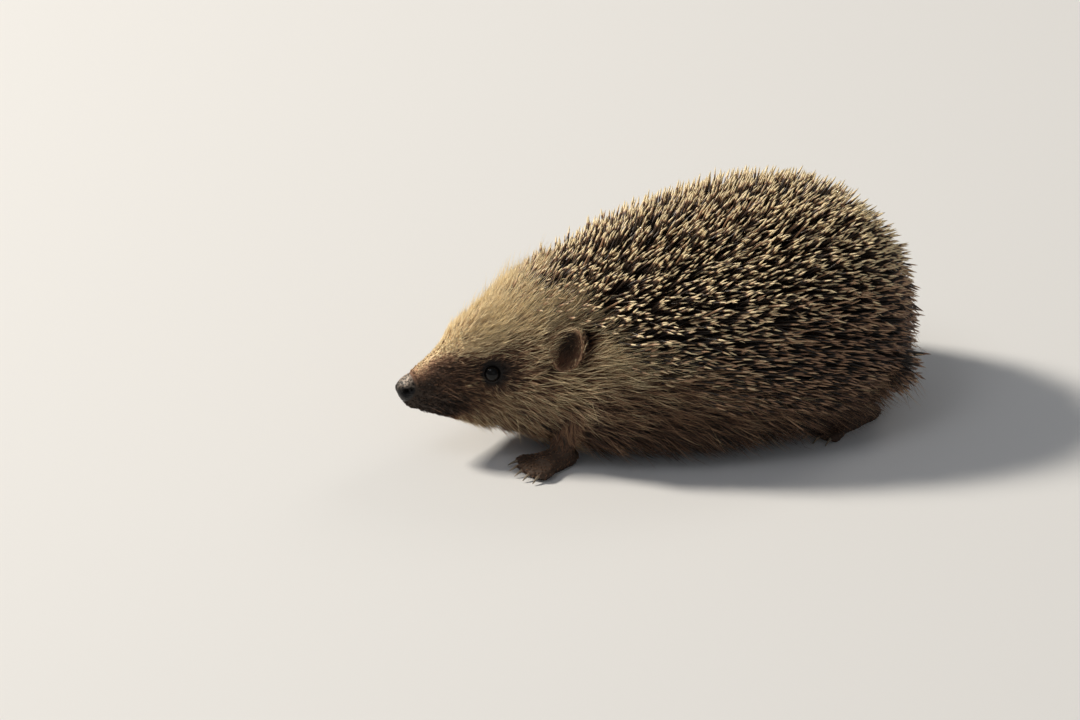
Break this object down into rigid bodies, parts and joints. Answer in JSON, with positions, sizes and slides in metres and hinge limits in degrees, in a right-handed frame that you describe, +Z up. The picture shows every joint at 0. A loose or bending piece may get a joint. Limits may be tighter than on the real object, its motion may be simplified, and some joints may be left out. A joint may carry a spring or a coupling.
{
  "type": "european hedgehog",
  "caption": "Still, life-size hedgehog standing low in a slow step, with its pointed nose held near the floor and its spines laid back.",
  "frame": {"origin": "on the floor, under the middle of the animal from nose tip to rump", "axes": "+Z up, nose towards -Y, the animal's left side towards +X"},
  "size_m": [0.11, 0.215, 0.0901],
  "materials": {
    "spines": "smooth horn spines, cream at the tip and dark brown below it",
    "body_fur": "long coarse grey-brown hair with paler tips",
    "face_fur": "short fur, cream on the forehead, brown on the cheeks and nearly black on the muzzle",
    "bare_skin": "fine-haired, creased grey-brown skin of ears, feet and tail",
    "nose": "moist black pebbled nose pad",
    "eye": "glossy black",
    "claw": "translucent grey-brown horn"
  },
  "bodies": {
    "root": {"nose": "nose", "head": "face_fur", "jaw": "face_fur", "neck": "body_fur", "back": "spines", "belly": "body_fur", "tail": "bare_skin", "eye_left": "eye", "ear_left": "bare_skin", "eye_right": "eye", "ear_right": "bare_skin", "foreleg_left": "body_fur", "forefoot_left": "bare_skin", "forefoot_left_claw_1": "claw", "forefoot_left_claw_2": "claw", "forefoot_left_claw_3": "claw", "forefoot_left_claw_4": "claw", "forefoot_left_claw_5": "claw", "foreleg_right": "body_fur", "forefoot_right": "bare_skin", "forefoot_right_claw_1": "claw", "forefoot_right_claw_2": "claw", "forefoot_right_claw_3": "claw", "forefoot_right_claw_4": "claw", "forefoot_right_claw_5": "claw", "hindleg_left": "body_fur", "hindfoot_left": "bare_skin", "hindfoot_left_claw_1": "claw", "hindfoot_left_claw_2": "claw", "hindfoot_left_claw_3": "claw", "hindfoot_left_claw_4": "claw", "hindfoot_left_claw_5": "claw", "hindleg_right": "body_fur", "hindfoot_right": "bare_skin", "hindfoot_right_claw_1": "claw", "hindfoot_right_claw_2": "claw", "hindfoot_right_claw_3": "claw", "hindfoot_right_claw_4": "claw", "hindfoot_right_claw_5": "claw"}
  },
  "joints": []
}
